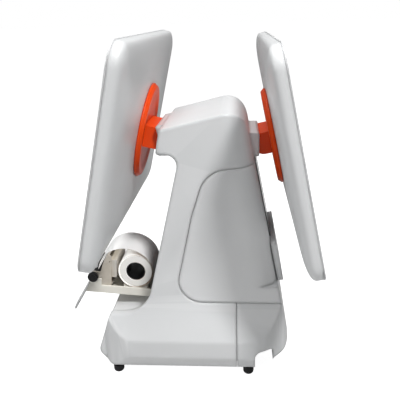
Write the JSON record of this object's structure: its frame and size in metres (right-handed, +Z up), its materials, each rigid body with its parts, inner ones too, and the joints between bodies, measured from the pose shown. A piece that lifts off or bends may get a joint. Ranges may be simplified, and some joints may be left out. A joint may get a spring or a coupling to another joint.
{
  "type": "pos touchscreen terminal",
  "caption": "Counter-top point-of-sale terminal with a tilting touchscreen for cashier and customer on a hollow column, and a receipt printer on a pull-out drawer.",
  "frame": {"origin": "middle of the terminal's footprint, drawer pulled out, at the underside of the rubber feet", "axes": "+X across the screens to the cashier's right when facing -Y, -Y towards the cashier, +Y towards the customer, +Z up"},
  "size_m": [0.378, 0.2924, 0.4118],
  "materials": {
    "housing_white": "satin",
    "cream_plastic": "satin",
    "hinge_orange": "gloss",
    "steel": "brushed",
    "sheet_steel": "matt",
    "aluminium": "brushed",
    "rubber_black": "matt",
    "board_green": "satin",
    "screen_glass": "polished",
    "panel_metal": "satin",
    "gloss_black": "gloss",
    "plastic_black": "satin",
    "printer_beige": "satin",
    "paper_white": "matt"
  },
  "bodies": {
    "stand": {"front_housing": "housing_white", "rear_cover": "housing_white", "base_rear_cover": "housing_white", "base_plate": "sheet_steel", "rubber_feet": "rubber_black", "base_screws": "steel", "mast": "sheet_steel", "front_beam": "sheet_steel", "rear_beam": "sheet_steel", "front_lug": "steel", "rear_lug": "steel", "lug_screws": "steel", "main_board": "board_green", "cooling_block": "aluminium", "storage_drive": "plastic_black", "speaker": "plastic_black", "io_bracket": "sheet_steel", "usb_port": "steel", "network_port": "steel", "serial_port": "steel", "power_inlet": "plastic_black", "service_cover": "housing_white", "service_window": "gloss_black", "rear_trim": "gloss_black", "drawer_rails": "steel"},
    "main_display": {"main_knuckle": "hinge_orange", "main_disc": "hinge_orange", "main_pin": "steel", "main_washers": "steel", "main_mount_plate": "steel", "main_mount_screws": "steel", "main_back_cover": "housing_white", "main_bezel": "housing_white", "main_glass": "screen_glass", "main_panel": "panel_metal", "main_driver": "board_green"},
    "customer_display": {"customer_knuckle": "hinge_orange", "customer_disc": "hinge_orange", "customer_pin": "steel", "customer_washers": "steel", "customer_mount_plate": "steel", "customer_mount_screws": "steel", "customer_back_cover": "housing_white", "customer_bezel": "housing_white", "customer_glass": "screen_glass", "customer_panel": "panel_metal", "customer_driver": "board_green"},
    "power_button": {"power_button": "housing_white"},
    "printer_drawer": {"drawer_tray": "cream_plastic", "drawer_fascia": "housing_white", "roll_cradle": "cream_plastic", "print_chassis": "printer_beige", "print_head": "printer_beige", "tear_bar": "steel", "paper_web": "paper_white"},
    "platen": {"platen_shaft": "steel", "platen_rubber": "rubber_black", "platen_knob": "plastic_black"},
    "receipt_roll": {"paper_roll": "paper_white", "roll_core": "plastic_black"}
  },
  "joints": [
    {"name": "main_tilt", "type": "hinge", "parent": "stand", "child": "main_display", "pos_m": [0, -0.02873, 0.28849], "axis": [1, 0, 0], "range_deg": [-7, 12]},
    {"name": "customer_tilt", "type": "hinge", "parent": "stand", "child": "customer_display", "pos_m": [0, 0.08907, 0.28336], "axis": [-1, 0, 0], "range_deg": [-15, 9]},
    {"name": "power_press", "type": "slide", "parent": "main_display", "child": "power_button", "axis": [0, 0.2233, 0.9748], "range_m": [0, 0.001], "stiffness_N_per_m": 400},
    {"name": "drawer_slide", "type": "slide", "parent": "stand", "child": "printer_drawer", "axis": [0, 0.9966, -0.0819], "range_m": [0, 0.064]},
    {"name": "platen_turn", "type": "hinge", "parent": "printer_drawer", "child": "platen", "pos_m": [0, -0.13223, 0.10848], "axis": [1, 0, 0], "continuous": true},
    {"name": "roll_turn", "type": "hinge", "parent": "printer_drawer", "child": "receipt_roll", "pos_m": [0, -0.07687, 0.11296], "axis": [1, 0, 0], "continuous": true}
  ]
}
